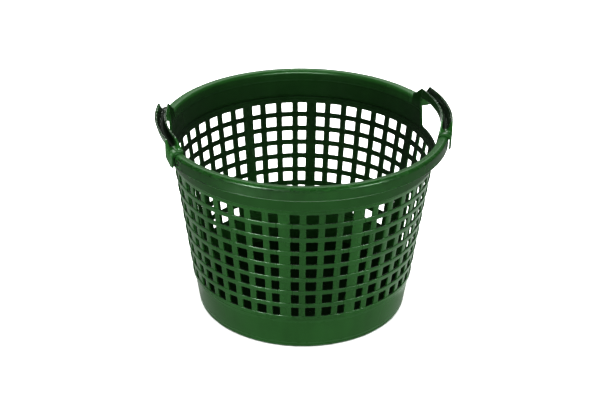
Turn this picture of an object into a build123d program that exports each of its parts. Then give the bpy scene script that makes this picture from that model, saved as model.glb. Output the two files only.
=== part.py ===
from build123d import *
import math
import os

# Round lattice basket for garden and harvest, moulded in one plastic, with two fixed grips.
# Millimetres. The origin is on the ground under the middle of the basket, +Z is up and +X runs
# through the middle of the right-hand grip. Angles are degrees from +X, anticlockwise from above.

# Foot ring and floor
foot_height = 4.0
foot_width = 11.0
foot_rounding = 3.4
floor_thickness = 3.2
floor_seam = 0.05
drain_hole_diameter = 6.0
drain_hole_pitch = 34.0

# Plain band below the lattice
lower_band_height = 44.6
lower_band_thickness = 2.8
lower_band_recess = 1.8
lower_band_taper = 8.4

# Lattice wall
wall_base_radius = 148.1
wall_taper = 7.56
row_count = 8
hole_height = 14.8
hoop_height = 7.0
hoop_thickness = 3.4
rib_thickness = 2.4
rib_width = 8.7
upright_width = 15.2

# Groups of hole columns, from the right-hand grip anticlockwise, and the upright that follows each
panel_columns = {
    "panel_right": 5,
    "panel_back_right": 7,
    "panel_back": 4,
    "panel_back_left": 7,
    "panel_left": 4,
    "panel_front_left": 7,
    "panel_front": 4,
    "panel_front_right": 7,
}
upright_after = {
    "panel_right": "upright_right_back",
    "panel_back_right": "upright_back_right",
    "panel_back": "upright_back_left",
    "panel_back_left": "upright_left_back",
    "panel_left": "upright_left_front",
    "panel_front_left": "upright_front_left",
    "panel_front": "upright_front_right",
    "panel_front_right": "upright_right_front",
}

# Plain band above the lattice
upper_band_height = 28.0
upper_band_thickness = 3.0
upper_band_step = 2.7
shoulder_thickness = 3.0

# Hand holes
sill_height = 6.3
hand_hole_width = 78.8
hand_hole_flare = 21.8

# Rim
rim_leg_height = 10.0
rim_overhang = 12.5
crown_rise = 4.0
crown_thickness = 2.8
inner_shoulder_rounding = 7.0
outer_shoulder_rounding = 4.2
skirt_height = 15.0
skirt_thickness = 2.6

# Grips
grip_rise = 15.0
grip_wall = 2.4
grip_wall_height = 8.4
grip_flare = 18.0
grip_half_angle = 16.5

# Grip ends, with runs in degrees along the rim
saddle_rise = 3.0
saddle_thickness = 4.5
saddle_rounding = 6.5
plate_gap = 1.7
plate_thickness = 2.5
plate_slant_run = 16.0
plate_slant_rise = 7.5
plate_corner = 1.2
cheek_drop = 14.5
cheek_angle = 0.8
horn_run = 0.8
channel_run = 2.1
inner_slope_run = 4.0
outer_slope_run = 3.7
grip_end_run = 5.8

# Heights above the ground, each stacked on the one below
lattice_bottom = foot_height + lower_band_height
row_pitch = hole_height + hoop_height
lattice_top = lattice_bottom + hoop_height + row_count * row_pitch
sill_top = lattice_top + sill_height
rim_seat = lattice_top + upper_band_height
rim_shoulder = rim_seat + rim_leg_height
rim_crest = rim_shoulder + crown_rise
skirt_bottom = rim_shoulder - skirt_height
grip_top = rim_crest + grip_rise
trough_spring = grip_top - grip_wall_height
saddle_top = rim_crest + saddle_rise
saddle_under = saddle_top - saddle_thickness
plate_bottom = skirt_bottom

# Angles along the rim where the grip end's features stop, counted on from the end of the grip
horn_angle = grip_half_angle + horn_run
channel_end_angle = grip_half_angle + channel_run
inner_lip_angle = horn_angle + inner_slope_run
outer_lip_angle = horn_angle + outer_slope_run
grip_end_angle = grip_half_angle + grip_end_run

# Lattice angles: a column of holes stands between each two ribs
column_count = sum(panel_columns.values())
column_angle = 360 / column_count
first_upright_angle = -column_angle * panel_columns["panel_right"] / 2


def lattice_inner(z):
    """Radius of the lattice wall's inner face at height z."""
    return wall_base_radius + z * math.tan(math.radians(wall_taper))


def rib_outer(z):
    """Radius of the ribs' outer face at height z."""
    return lattice_inner(z) + rib_thickness


def hoop_outer(z):
    """Radius of the hoops' outer face at height z."""
    return lattice_inner(z) + hoop_thickness


def lower_band_outer(z):
    """Radius of the lower band's outer face at height z."""
    top_radius = hoop_outer(lattice_bottom) - lower_band_recess
    return top_radius - (lattice_bottom - z) * math.tan(math.radians(lower_band_taper))


def lower_band_inner(z):
    """Radius of the lower band's inner face at height z."""
    return lower_band_outer(z) - lower_band_thickness


def upper_band_inner(z):
    """Radius of the upper band's inner face at height z."""
    return lattice_inner(z) + upper_band_step


def upper_band_outer(z):
    """Radius of the upper band's outer face at height z."""
    return upper_band_inner(z) + upper_band_thickness


# Radii that several pieces share
rim_outer = upper_band_outer(rim_seat) + rim_overhang
skirt_inner = rim_outer - skirt_thickness
plate_inner = rim_outer + plate_gap
plate_outer = plate_inner + plate_thickness
cut_reach = 2 * plate_outer
foot_inner = lower_band_outer(foot_height) - foot_width

# Trough of the grip, across its length: two walls that spring from a half-round bottom
trough_near = upper_band_inner(trough_spring)
trough_far = plate_outer - grip_wall_height * math.tan(math.radians(grip_flare))
trough_middle = (trough_near + trough_far) / 2
trough_radius = (trough_far - trough_near) / 2
channel_near_top = (upper_band_inner(grip_top) + grip_wall, grip_top)
channel_near_foot = (trough_near + grip_wall, trough_spring)
channel_bottom = (trough_middle, trough_spring - trough_radius + grip_wall)
channel_far_foot = (trough_far - grip_wall, trough_spring)
channel_far_top = (plate_inner, grip_top)

# Outline of a hand hole, looking along X
hand_hole_half = hand_hole_width / 2
hand_hole_top = rim_crest
hand_hole_top_half = hand_hole_half + (hand_hole_top - sill_top) * math.tan(math.radians(hand_hole_flare))


def radial_plane(angle):
    """Upright plane through the axis, with x outwards at this angle and y upwards."""
    turn = math.radians(angle)
    outwards = (math.cos(turn), math.sin(turn), 0)
    return Plane(origin=(0, 0, 0), x_dir=outwards, z_dir=(math.sin(turn), -math.cos(turn), 0))


def facing_plane(angle):
    """Upright plane on the axis that faces outwards at this angle, with x sideways and y upwards."""
    turn = math.radians(angle)
    outwards = (math.cos(turn), math.sin(turn), 0)
    return Plane(origin=(0, 0, 0), x_dir=(-math.sin(turn), math.cos(turn), 0), z_dir=outwards)


def save(piece, name):
    """Label a finished piece and write it to its own file."""
    piece.part.label = name
    export_step(piece.part, f"parts/{name}.step")


def lattice_section():
    """Section of the lattice wall: a straight inner face, and hoops standing proud outside."""
    outside = []
    for hoop in range(row_count + 1):
        low = lattice_bottom + hoop * row_pitch
        high = low + hoop_height
        outside += [(hoop_outer(low), low), (hoop_outer(high), high)]
        if hoop < row_count:
            next_low = low + row_pitch
            outside += [(rib_outer(high), high), (rib_outer(next_low), next_low)]
    return outside + [(lattice_inner(lattice_top), lattice_top), (lattice_inner(lattice_bottom), lattice_bottom)]


def hole_outline(row, first, last):
    """Corners of one hole, seen from outside; a hole reaches into the upright beside it."""
    half_angle = math.radians(column_angle / 2)
    low = lattice_bottom + hoop_height + row * row_pitch
    corners = []
    for z in (low, low + hole_height):
        to_rib_middle = (lattice_inner(z) + hoop_thickness / 2) * math.tan(half_angle)
        to_rib_side = to_rib_middle - rib_width / 2 / math.cos(half_angle)
        left = to_rib_middle if first else to_rib_side
        right = to_rib_middle if last else to_rib_side
        corners += [[(-left, z), (right, z)]]
    return corners[0] + corners[1][::-1]


def build_panel(name, start, columns):
    """One lattice panel between two uprights, with its holes."""
    with BuildPart() as panel:
        with BuildSketch(radial_plane(start)):
            with BuildLine():
                Polyline(*lattice_section(), close=True)
            make_face()
        revolve(axis=Axis.Z, revolution_arc=columns * column_angle)
        for upright_angle in (start, start + columns * column_angle):
            with BuildSketch(facing_plane(upright_angle)):
                with Locations((0, lattice_top / 2)):
                    Rectangle(upright_width, 2 * lattice_top)
            extrude(amount=cut_reach, mode=Mode.SUBTRACT)
        for column in range(columns):
            with BuildSketch(facing_plane(start + (column + 0.5) * column_angle)):
                for row in range(row_count):
                    with BuildLine():
                        Polyline(*hole_outline(row, column == 0, column == columns - 1), close=True)
                    make_face()
            extrude(amount=cut_reach, mode=Mode.SUBTRACT)
    save(panel, name)


def build_upright(name, angle):
    """One of the wider posts between two panels, with the hoops running across it."""
    with BuildPart() as upright:
        with BuildSketch(radial_plane(angle - column_angle)):
            with BuildLine():
                Polyline(*lattice_section(), close=True)
            make_face()
        revolve(axis=Axis.Z, revolution_arc=2 * column_angle)
        with BuildSketch(facing_plane(angle)):
            with Locations((0, lattice_top / 2)):
                Rectangle(upright_width, 2 * lattice_top)
        extrude(amount=cut_reach, mode=Mode.INTERSECT)
    save(upright, name)


def upper_band_section(top):
    """Section of the band above the lattice: an inward shoulder on the lattice, and the wall above it."""
    ledge = lattice_top + shoulder_thickness
    return [
        (lattice_inner(lattice_top), lattice_top),
        (upper_band_outer(lattice_top), lattice_top),
        (upper_band_outer(top), top),
        (upper_band_inner(top), top),
        (upper_band_inner(ledge), ledge),
        (lattice_inner(ledge), ledge),
    ]


def hand_hole_outline():
    """Both hand holes and the sills under them, seen along X."""
    return [
        (-hand_hole_half, lattice_top),
        (hand_hole_half, lattice_top),
        (hand_hole_half, sill_top),
        (hand_hole_top_half, hand_hole_top),
        (-hand_hole_top_half, hand_hole_top),
        (-hand_hole_half, sill_top),
    ]


os.makedirs("parts", exist_ok=True)

# Foot ring, rounded where the wall meets the ground
with BuildPart() as foot_ring:
    with BuildSketch(Plane.XZ) as foot_section:
        with BuildLine():
            Polyline(
                (foot_inner, 0),
                (lower_band_outer(0), 0),
                (lower_band_outer(foot_height), foot_height),
                (foot_inner, foot_height),
                close=True,
            )
        make_face()
        fillet(foot_section.vertices().sort_by_distance((lower_band_outer(0), 0))[0], foot_rounding)
    revolve(axis=Axis.Z)
save(foot_ring, "foot_ring")

# Floor, lying on the foot ring, with rings of small drain holes
with BuildPart() as floor_plate:
    floor_top = foot_height + floor_thickness
    with BuildSketch(Plane.XZ):
        with BuildLine():
            Polyline(
                (0, foot_height),
                (lower_band_inner(foot_height) - floor_seam, foot_height),
                (lower_band_inner(floor_top) - floor_seam, floor_top),
                (0, floor_top),
                close=True,
            )
        make_face()
    revolve(axis=Axis.Z)
    with BuildSketch(Plane.XY.offset(foot_height)):
        for ring in range(1, int(foot_inner / drain_hole_pitch)):
            with PolarLocations(ring * drain_hole_pitch, int(2 * math.pi * ring)):
                Circle(drain_hole_diameter / 2)
    extrude(amount=floor_thickness, mode=Mode.SUBTRACT)
save(floor_plate, "floor_plate")

# Plain band from the foot ring to the lattice
with BuildPart() as lower_band:
    with BuildSketch(Plane.XZ):
        with BuildLine():
            Polyline(
                (lower_band_inner(foot_height), foot_height),
                (lower_band_outer(foot_height), foot_height),
                (lower_band_outer(lattice_bottom), lattice_bottom),
                (lower_band_inner(lattice_bottom), lattice_bottom),
                close=True,
            )
        make_face()
    revolve(axis=Axis.Z)
save(lower_band, "lower_band")

# Lattice panels and the uprights between them
panel_start = first_upright_angle
for panel_name, panel_width in panel_columns.items():
    build_panel(panel_name, panel_start, panel_width)
    panel_start += panel_width * column_angle
    build_upright(upright_after[panel_name], panel_start)

# Plain band above the lattice, in two halves that stop at the hand holes
with BuildPart() as upper_band_back:
    with BuildSketch(Plane.XZ):
        with BuildLine():
            Polyline(*upper_band_section(rim_seat), close=True)
        make_face()
    revolve(axis=Axis.Z, revolution_arc=180)
    with BuildSketch(Plane.YZ):
        with BuildLine():
            Polyline(*hand_hole_outline(), close=True)
        make_face()
    extrude(amount=cut_reach, both=True, mode=Mode.SUBTRACT)
save(upper_band_back, "upper_band_back")

with BuildPart() as upper_band_front:
    mirror(upper_band_back.part, about=Plane.XZ)
save(upper_band_front, "upper_band_front")

# Sills of the hand holes
with BuildPart() as sill_right:
    with BuildSketch(radial_plane(-90)):
        with BuildLine():
            Polyline(*upper_band_section(sill_top), close=True)
        make_face()
    revolve(axis=Axis.Z, revolution_arc=180)
    with BuildSketch(Plane.YZ):
        with BuildLine():
            Polyline(*hand_hole_outline(), close=True)
        make_face()
    extrude(amount=cut_reach, mode=Mode.INTERSECT)
save(sill_right, "sill_right")

with BuildPart() as sill_left:
    mirror(sill_right.part, about=Plane.YZ)
save(sill_left, "sill_left")

# Rim from grip to grip: an inner leg on the band, a top with rounded shoulders and a hanging skirt
with BuildPart() as rim_back:
    crown_under = rim_crest - crown_thickness
    inner_shoulder = (upper_band_inner(rim_crest), rim_crest)
    outer_shoulder = (rim_outer, rim_crest)
    outer_hollow = (skirt_inner, crown_under)
    inner_hollow = (upper_band_outer(crown_under), crown_under)
    roundings = {
        inner_shoulder: inner_shoulder_rounding,
        outer_shoulder: outer_shoulder_rounding,
        outer_hollow: outer_shoulder_rounding - crown_thickness,
        inner_hollow: inner_shoulder_rounding - crown_thickness,
    }
    with BuildSketch(radial_plane(grip_end_angle)) as rim_section:
        with BuildLine():
            Polyline(
                (upper_band_inner(rim_seat), rim_seat),
                inner_shoulder,
                outer_shoulder,
                (rim_outer, skirt_bottom),
                (skirt_inner, skirt_bottom),
                outer_hollow,
                inner_hollow,
                (upper_band_outer(rim_seat), rim_seat),
                close=True,
            )
        make_face()
        for corner, rounding in roundings.items():
            fillet(rim_section.vertices().sort_by_distance(corner)[0], rounding)
    revolve(axis=Axis.Z, revolution_arc=180 - 2 * grip_end_angle)
save(rim_back, "rim_back")

with BuildPart() as rim_front:
    mirror(rim_back.part, about=Plane.XZ)
save(rim_front, "rim_front")

# Grip: a trough with a round bottom, open at the top, over the hand hole
with BuildPart() as grip_right:
    trough_near_foot = (trough_near, trough_spring)
    trough_bottom = (trough_middle, trough_spring - trough_radius)
    trough_far_foot = (trough_far, trough_spring)
    with BuildSketch(radial_plane(-grip_half_angle)):
        with BuildLine():
            Polyline(
                trough_near_foot,
                (upper_band_inner(grip_top), grip_top),
                channel_near_top,
                channel_near_foot,
            )
            ThreePointArc(channel_near_foot, channel_bottom, channel_far_foot)
            Polyline(channel_far_foot, channel_far_top, (plate_outer, grip_top), trough_far_foot)
            ThreePointArc(trough_far_foot, trough_bottom, trough_near_foot)
        make_face()
    revolve(axis=Axis.Z, revolution_arc=2 * grip_half_angle)
save(grip_right, "grip_right")

with BuildPart() as grip_left:
    mirror(grip_right.part, about=Plane.YZ)
save(grip_left, "grip_left")

# Grip end: two lips that run down from the grip, a saddle over the rim, and a plate outside the skirt
with BuildPart() as grip_end_right_back:
    # Inner lip, sloping from the grip's top to the saddle
    with BuildSketch(radial_plane(grip_half_angle)):
        with BuildLine():
            Polyline(
                (upper_band_inner(saddle_under), saddle_under),
                (upper_band_inner(grip_top), grip_top),
                channel_near_top,
                (upper_band_inner(saddle_under) + grip_wall, saddle_under),
                close=True,
            )
        make_face()
    revolve(axis=Axis.Z, revolution_arc=inner_lip_angle - grip_half_angle)
    # Outer lip, the trough's far wall run out on to the plate, sloping further down
    with BuildSketch(radial_plane(grip_half_angle)):
        with BuildLine():
            Polyline(
                (plate_inner, plate_bottom),
                (plate_outer, plate_bottom),
                (plate_outer, grip_top),
                channel_far_top,
                channel_far_foot,
                (channel_far_foot[0], saddle_under),
                (plate_inner, saddle_under),
                close=True,
            )
        make_face()
    revolve(axis=Axis.Z, revolution_arc=outer_lip_angle - grip_half_angle)
    # Slopes of the two lips, each cut over its own part of the width
    for near, far, lip_angle, foot in (
        (0, trough_middle, inner_lip_angle, saddle_top),
        (trough_middle, cut_reach, outer_lip_angle, saddle_top - saddle_rounding),
    ):
        slope_run = plate_outer * math.tan(math.radians(lip_angle - horn_angle))
        with BuildSketch(facing_plane(horn_angle).offset(near)):
            with BuildLine():
                Polyline(
                    (0, grip_top),
                    (slope_run, foot),
                    (cut_reach, foot),
                    (cut_reach, grip_top),
                    close=True,
                )
            make_face()
        extrude(amount=far - near, mode=Mode.SUBTRACT)
    # Saddle with the wall, skirt and plate hanging from it
    with BuildSketch(radial_plane(grip_half_angle)) as saddle_section:
        with BuildLine():
            Polyline(
                (upper_band_inner(rim_seat), rim_seat),
                (upper_band_inner(saddle_top), saddle_top),
                (plate_outer, saddle_top),
                (plate_outer, plate_bottom),
                (plate_inner, plate_bottom),
                (plate_inner, saddle_under - plate_thickness),
                (rim_outer, saddle_under - plate_thickness),
                (rim_outer, skirt_bottom),
                (skirt_inner, skirt_bottom),
                (skirt_inner, saddle_under),
                (upper_band_outer(saddle_under), saddle_under),
                (upper_band_outer(rim_seat), rim_seat),
                close=True,
            )
        make_face()
        fillet(saddle_section.vertices().sort_by_distance((plate_outer, saddle_top))[0], saddle_rounding)
    revolve(axis=Axis.Z, revolution_arc=grip_end_angle - grip_half_angle)
    # Slanted lower edge of the skirt and the plate, beside the hand hole
    with BuildSketch(facing_plane(grip_half_angle).offset(skirt_inner - skirt_thickness)):
        with BuildLine():
            Polyline(
                (0, plate_bottom + plate_slant_rise),
                (-plate_slant_rise, plate_bottom + plate_slant_rise),
                (-plate_slant_rise, plate_bottom - plate_slant_rise),
                (plate_slant_run, plate_bottom - plate_slant_rise),
                (plate_slant_run, plate_bottom),
                close=True,
            )
        make_face()
    extrude(amount=cut_reach, mode=Mode.SUBTRACT)
    # Rounded lower corner of the plate at its far end
    with BuildSketch(facing_plane(grip_end_angle).offset(plate_inner - plate_gap / 2)):
        with BuildLine():
            corner_middle = plate_corner * (1 - math.sqrt(0.5))
            Polyline(
                (0, plate_bottom + plate_corner),
                (plate_corner, plate_bottom + plate_corner),
                (plate_corner, plate_bottom - plate_corner),
                (-plate_corner, plate_bottom - plate_corner),
                (-plate_corner, plate_bottom),
            )
            ThreePointArc(
                (-plate_corner, plate_bottom),
                (-corner_middle, plate_bottom + corner_middle),
                (0, plate_bottom + plate_corner),
            )
        make_face()
    extrude(amount=cut_reach, mode=Mode.SUBTRACT)
    # Cheek that closes the end under the grip
    with BuildSketch(radial_plane(grip_half_angle)):
        with BuildLine():
            cheek_bottom = saddle_top - cheek_drop
            Polyline(
                (upper_band_inner(cheek_bottom) + upper_band_thickness / 2, cheek_bottom),
                (upper_band_inner(saddle_under) + upper_band_thickness / 2, saddle_under),
                (plate_inner + plate_thickness / 2, saddle_under),
                (plate_inner + plate_thickness / 2, cheek_bottom),
                close=True,
            )
        make_face()
    revolve(axis=Axis.Z, revolution_arc=cheek_angle)
    # End of the trough, let into the saddle
    with BuildSketch(radial_plane(grip_half_angle)):
        with BuildLine():
            Polyline(channel_near_top, channel_near_foot)
            ThreePointArc(channel_near_foot, channel_bottom, channel_far_foot)
            Polyline(channel_far_foot, channel_far_top, channel_near_top)
        make_face()
    revolve(axis=Axis.Z, revolution_arc=channel_end_angle - grip_half_angle, mode=Mode.SUBTRACT)
    # Wall beside the hand hole, under the grip
    with BuildSketch(Plane.XZ):
        with BuildLine():
            Polyline(
                (upper_band_inner(rim_seat), rim_seat),
                (upper_band_inner(hand_hole_top), hand_hole_top),
                (upper_band_outer(hand_hole_top), hand_hole_top),
                (upper_band_outer(rim_seat), rim_seat),
                close=True,
            )
        make_face()
    revolve(axis=Axis.Z, revolution_arc=grip_half_angle)
    with BuildSketch(Plane.YZ):
        with BuildLine():
            Polyline(*hand_hole_outline(), close=True)
        make_face()
    extrude(amount=cut_reach, mode=Mode.SUBTRACT)
save(grip_end_right_back, "grip_end_right_back")

with BuildPart() as grip_end_right_front:
    mirror(grip_end_right_back.part, about=Plane.XZ)
save(grip_end_right_front, "grip_end_right_front")

with BuildPart() as grip_end_left_back:
    mirror(grip_end_right_back.part, about=Plane.YZ)
save(grip_end_left_back, "grip_end_left_back")

with BuildPart() as grip_end_left_front:
    mirror(grip_end_left_back.part, about=Plane.XZ)
save(grip_end_left_front, "grip_end_left_front")
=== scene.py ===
"""Garden basket in dark green plastic: the moulded pieces, their finish and a soft studio around them."""

import logging
import math
from contextlib import contextmanager
from dataclasses import dataclass
from enum import Enum
from typing import Callable, Iterator, Sequence

import bpy
from bpy.types import Material, Node, NodeSocket, NodeTree, Object, ShaderNodeTree
from mathutils import Matrix, Vector


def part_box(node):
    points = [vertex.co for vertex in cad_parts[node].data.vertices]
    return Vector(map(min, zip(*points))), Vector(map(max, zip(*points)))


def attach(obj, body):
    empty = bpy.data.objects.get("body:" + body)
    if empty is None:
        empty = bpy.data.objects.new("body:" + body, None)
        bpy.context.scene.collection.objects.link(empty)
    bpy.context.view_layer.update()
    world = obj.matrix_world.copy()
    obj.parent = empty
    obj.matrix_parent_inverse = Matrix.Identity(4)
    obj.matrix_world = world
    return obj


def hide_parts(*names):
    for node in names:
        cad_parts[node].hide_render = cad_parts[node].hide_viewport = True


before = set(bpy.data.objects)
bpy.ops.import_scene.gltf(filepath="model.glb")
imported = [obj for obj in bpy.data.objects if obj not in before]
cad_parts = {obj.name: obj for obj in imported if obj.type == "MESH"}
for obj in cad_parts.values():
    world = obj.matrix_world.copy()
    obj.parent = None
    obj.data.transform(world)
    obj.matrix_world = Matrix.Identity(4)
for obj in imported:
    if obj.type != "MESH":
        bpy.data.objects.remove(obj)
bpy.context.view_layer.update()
LOG = logging.getLogger("garden_basket")

Point = tuple[float, float]
Range = tuple[float, float]
Place = tuple[float, float, float]
Colour = tuple[float, float, float, float]
Inputs = dict[str | int, object]

MM = 0.001
FULL_TURN = 2 * math.pi
BODY = "root"
WHITE = (1.0, 1.0, 1.0, 1.0)

# Places nearer than this count as one, and vertices nearer than the weld are merged
TOUCHING = 0.01 * MM
WELD = 0.002 * MM

# Share of a rounding by which the middle of a rounded corner is drawn in
CORNER_INSET = 1 - math.sqrt(0.5)


# Sizes

@dataclass(frozen=True)
class BasketForm:
    """Sizes that the sub-assemblies share, in metres and radians. The heights come from the frame."""

    floor_bottom: float
    floor_top: float
    lattice_bottom: float
    lattice_top: float
    sill_top: float
    rim_seat: float
    skirt_bottom: float
    rim_crest: float
    grip_top: float
    plate_bottom: float
    wall_base_radius: float = 148.1 * MM
    wall_taper: float = math.radians(7.56)
    hoop_thickness: float = 3.4 * MM
    rib_thickness: float = 2.4 * MM
    lower_band_recess: float = 1.8 * MM
    lower_band_taper: float = math.radians(8.4)
    lower_band_thickness: float = 2.8 * MM
    foot_width: float = 11.0 * MM
    upper_band_step: float = 2.7 * MM
    upper_band_thickness: float = 3.0 * MM
    rim_overhang: float = 12.5 * MM
    skirt_thickness: float = 2.6 * MM
    plate_gap: float = 1.7 * MM
    plate_thickness: float = 2.5 * MM
    saddle_rise: float = 3.0 * MM
    grip_wall: float = 2.4 * MM
    grip_wall_height: float = 8.4 * MM
    grip_flare: float = math.radians(18.0)
    grip_half_angle: float = math.radians(16.5)
    grip_end_angle: float = math.radians(22.3)
    lip_rounding: float = 0.6 * MM

    @classmethod
    def from_frame(cls) -> "BasketForm":
        """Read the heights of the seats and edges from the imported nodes.

        Returns:
            The shared sizes of this basket.
        """
        return cls(
            floor_bottom=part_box("floor_plate")[0].z,
            floor_top=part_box("floor_plate")[1].z,
            lattice_bottom=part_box("lower_band")[1].z,
            lattice_top=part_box("panel_front")[1].z,
            sill_top=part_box("sill_right")[1].z,
            rim_seat=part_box("upper_band_back")[1].z,
            skirt_bottom=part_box("rim_back")[0].z,
            rim_crest=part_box("rim_back")[1].z,
            grip_top=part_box("grip_right")[1].z,
            plate_bottom=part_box("grip_end_right_back")[0].z,
        )

    def lattice_inner(self, z: float) -> float:
        """Radius of the lattice wall's inner face at height z."""
        return self.wall_base_radius + z * math.tan(self.wall_taper)

    def rib_outer(self, z: float) -> float:
        """Radius of the ribs' outer face at height z."""
        return self.lattice_inner(z) + self.rib_thickness

    def lower_band_outer(self, z: float) -> float:
        """Radius of the lower band's outer face at height z."""
        top_radius = self.lattice_inner(self.lattice_bottom) + self.hoop_thickness - self.lower_band_recess
        return top_radius - (self.lattice_bottom - z) * math.tan(self.lower_band_taper)

    def lower_band_inner(self, z: float) -> float:
        """Radius of the lower band's inner face at height z."""
        return self.lower_band_outer(z) - self.lower_band_thickness

    def upper_band_inner(self, z: float) -> float:
        """Radius of the upper band's inner face at height z."""
        return self.lattice_inner(z) + self.upper_band_step

    def upper_band_outer(self, z: float) -> float:
        """Radius of the upper band's outer face at height z."""
        return self.upper_band_inner(z) + self.upper_band_thickness

    @property
    def foot_inner(self) -> float:
        """Radius of the foot ring's inner face."""
        return self.lower_band_outer(self.floor_bottom) - self.foot_width

    @property
    def hoop_stand(self) -> float:
        """How far the hoops stand proud of the ribs."""
        return self.hoop_thickness - self.rib_thickness

    @property
    def rim_outer(self) -> float:
        """Radius of the skirt's outer face."""
        return self.upper_band_outer(self.rim_seat) + self.rim_overhang

    @property
    def skirt_inner(self) -> float:
        """Radius of the skirt's inner face."""
        return self.rim_outer - self.skirt_thickness

    @property
    def plate_inner(self) -> float:
        """Radius of the inner face of the plates outside the skirt."""
        return self.rim_outer + self.plate_gap

    @property
    def plate_outer(self) -> float:
        """Radius of the outer face of the plates outside the skirt."""
        return self.plate_inner + self.plate_thickness

    @property
    def saddle_top(self) -> float:
        """Height of the saddles at the ends of the grips."""
        return self.rim_crest + self.saddle_rise

    @property
    def trough_spring(self) -> float:
        """Height where the trough's walls rise from its round bottom."""
        return self.grip_top - self.grip_wall_height

    @property
    def trough_near(self) -> float:
        """Radius of the trough's inner side at its spring."""
        return self.upper_band_inner(self.trough_spring)

    @property
    def trough_far(self) -> float:
        """Radius of the trough's outer side at its spring."""
        return self.plate_outer - self.grip_wall_height * math.tan(self.grip_flare)

    def trough_bottom(self, wall: float, count: int) -> list[Point]:
        """Draw the trough's round bottom, some way inside its outer face.

        Args:
            wall: The distance from the outer face.
            count: The number of points between the two springs.

        Returns:
            Radii and heights, from the inner to the outer spring, without the springs themselves.
        """
        middle = (self.trough_near + self.trough_far) / 2
        radius = (self.trough_far - self.trough_near) / 2 - wall
        points = []
        for index in range(1, count + 1):
            turn = math.pi + math.pi * index / (count + 1)
            points.append((middle + radius * math.cos(turn), self.trough_spring + radius * math.sin(turn)))
        return points


# Modelling helpers

class Pick(Enum):
    """What an edit works on, as Blender's select mode."""

    VERTICES = (True, False, False)
    EDGES = (False, True, False)
    FACES = (False, False, True)


def at(radius: float, angle: float, height: float) -> Vector:
    """Place at a radius, an angle from +X and a height."""
    return Vector((radius * math.cos(angle), radius * math.sin(angle), height))


def radius_of(place: Vector) -> float:
    """Distance of a place from the basket's axis."""
    return math.hypot(place.x, place.y)


def held(share: float) -> float:
    """A share kept between none and all."""
    return min(max(share, 0.0), 1.0)


@dataclass(frozen=True)
class Corner:
    """One corner of a section through the axis, with the rounding that the mould gives it."""

    radius: float
    height: float
    rounding: float = 0.0
    segments: int = 4

    def turned_to(self, angle: float) -> Vector:
        """Place of the corner where its section stands at an angle."""
        return at(self.radius, angle, self.height)


def make_only(piece: Object) -> None:
    """Select one piece, make it active and deselect all else.

    Args:
        piece: The piece to work on.
    """
    bpy.ops.object.select_all(action="DESELECT")
    piece.select_set(True)
    bpy.context.view_layer.objects.active = piece


@contextmanager
def editing(piece: Object, pick: Pick, whole: bool = False) -> Iterator[None]:
    """Open a piece in edit mode and close it again.

    Args:
        piece: The mesh to edit.
        pick: The kind of element that is selected.
        whole: Whether all of it is selected first.

    Yields:
        Nothing, while the piece is open.
    """
    make_only(piece)
    bpy.context.tool_settings.mesh_select_mode = pick.value
    bpy.ops.object.mode_set(mode="EDIT")
    if whole:
        bpy.ops.mesh.select_all(action="SELECT")
    yield
    bpy.ops.object.mode_set(mode="OBJECT")


def clear_selection(piece: Object) -> None:
    """Deselect every vertex, edge and face of a piece."""
    for elements in (piece.data.vertices, piece.data.edges, piece.data.polygons):
        elements.foreach_set("select", [False] * len(elements))


def round_sharp_edges(
    piece: Object, sharpness: float, width: float, segments: int, keep: Callable[[Vector, Vector], bool]
) -> None:
    """Round the edges that turn by more than an angle and whose two ends pass a test.

    Args:
        piece: The mesh to finish.
        sharpness: The least angle between the two faces of an edge.
        width: How far the rounding reaches from the edge.
        segments: The number of faces across the rounding.
        keep: Test of the places of an edge's two ends.
    """
    with editing(piece, Pick.EDGES):
        bpy.ops.mesh.select_all(action="DESELECT")
        bpy.ops.mesh.edges_select_sharp(sharpness=sharpness)
    mesh = piece.data
    sharp = [edge.index for edge in mesh.edges if edge.select]
    clear_selection(piece)
    for index in sharp:
        first, second = (mesh.vertices[end].co for end in mesh.edges[index].vertices)
        mesh.edges[index].select = keep(first, second)
    with editing(piece, Pick.EDGES):
        bpy.ops.mesh.bevel(offset=width, segments=segments, affect="EDGES", clamp_overlap=True)


def seal(piece: Object, capped: bool = False) -> None:
    """Merge doubled vertices and turn every face outwards.

    Args:
        piece: The mesh to finish.
        capped: Whether its open ends are closed too.
    """
    with editing(piece, Pick.VERTICES, whole=True):
        bpy.ops.mesh.remove_doubles(threshold=WELD)
        if capped:
            bpy.ops.mesh.fill_holes(sides=0)
        bpy.ops.mesh.select_all(action="SELECT")
        bpy.ops.mesh.normals_make_consistent(inside=False)


def apply_modifier(piece: Object, kind: str, **settings: object) -> None:
    """Add a modifier with some settings and apply it.

    Args:
        piece: The mesh to change.
        kind: Blender's word for the modifier.
        **settings: The modifier's settings by name.
    """
    make_only(piece)
    modifier = piece.modifiers.new(kind.lower(), kind)
    for key, value in settings.items():
        setattr(modifier, key, value)
    bpy.ops.object.modifier_apply(modifier=modifier.name)


def cut_away(piece: Object, cutter: Object) -> None:
    """Cut a piece with another mesh, which is then removed."""
    apply_modifier(piece, "BOOLEAN", object=cutter, operation="DIFFERENCE", solver="EXACT")
    bpy.data.objects.remove(cutter)


def slice_off(piece: Object, place: Vector, normal: Vector) -> None:
    """Cut a piece at a plane, close the cut and keep the side that the normal points to."""
    with editing(piece, Pick.VERTICES, whole=True):
        bpy.ops.mesh.bisect(plane_co=place, plane_no=normal, use_fill=True, clear_inner=True)


def turned_copy(piece: Object, name: str, turn: Matrix) -> Object:
    """Copy a piece with its own mesh, turned or mirrored about the basket's axis.

    Args:
        piece: The modelled piece.
        name: The name of the copy.
        turn: The matrix that places the copy.

    Returns:
        The copy, with its faces outwards.
    """
    copy = piece.copy()
    copy.data = piece.data.copy()
    copy.name = copy.data.name = name
    bpy.context.scene.collection.objects.link(copy)
    copy.data.transform(turn)
    if turn.determinant() < 0:
        copy.data.flip_normals()
    return copy


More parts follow.
